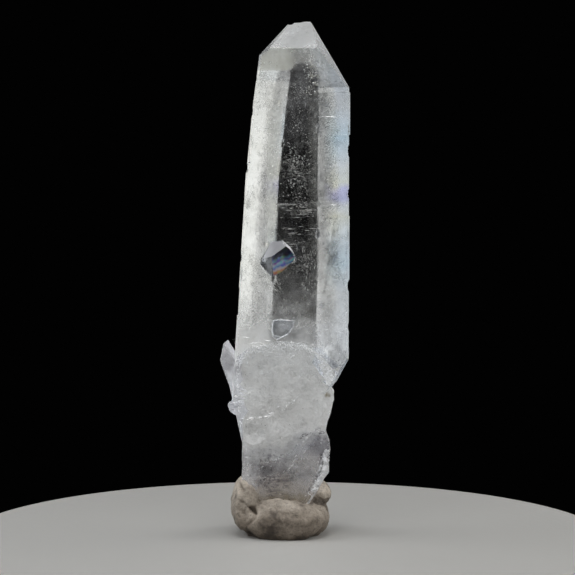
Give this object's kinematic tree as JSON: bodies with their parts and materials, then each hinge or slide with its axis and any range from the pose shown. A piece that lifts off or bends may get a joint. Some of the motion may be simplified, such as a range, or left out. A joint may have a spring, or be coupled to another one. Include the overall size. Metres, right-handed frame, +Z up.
{
  "type": "quartz crystal in mounting putty",
  "caption": "Clear quartz prism with a pointed top, broken foot and small side crystals, standing upright in a pinched pad of grey mounting putty.",
  "frame": {"origin": "middle of the bottom of the whole object's box, on the surface that the putty stands on", "axes": "+Z up along the crystal, +X to the right and +Y away from someone who faces the widest prism face"},
  "size_m": [0.0234, 0.0174, 0.0933],
  "materials": {
    "clear_quartz": "polished",
    "grey_putty": "matte"
  },
  "bodies": {
    "root": {"quartz_crystal": "clear_quartz", "putty_base": "grey_putty"}
  },
  "joints": []
}
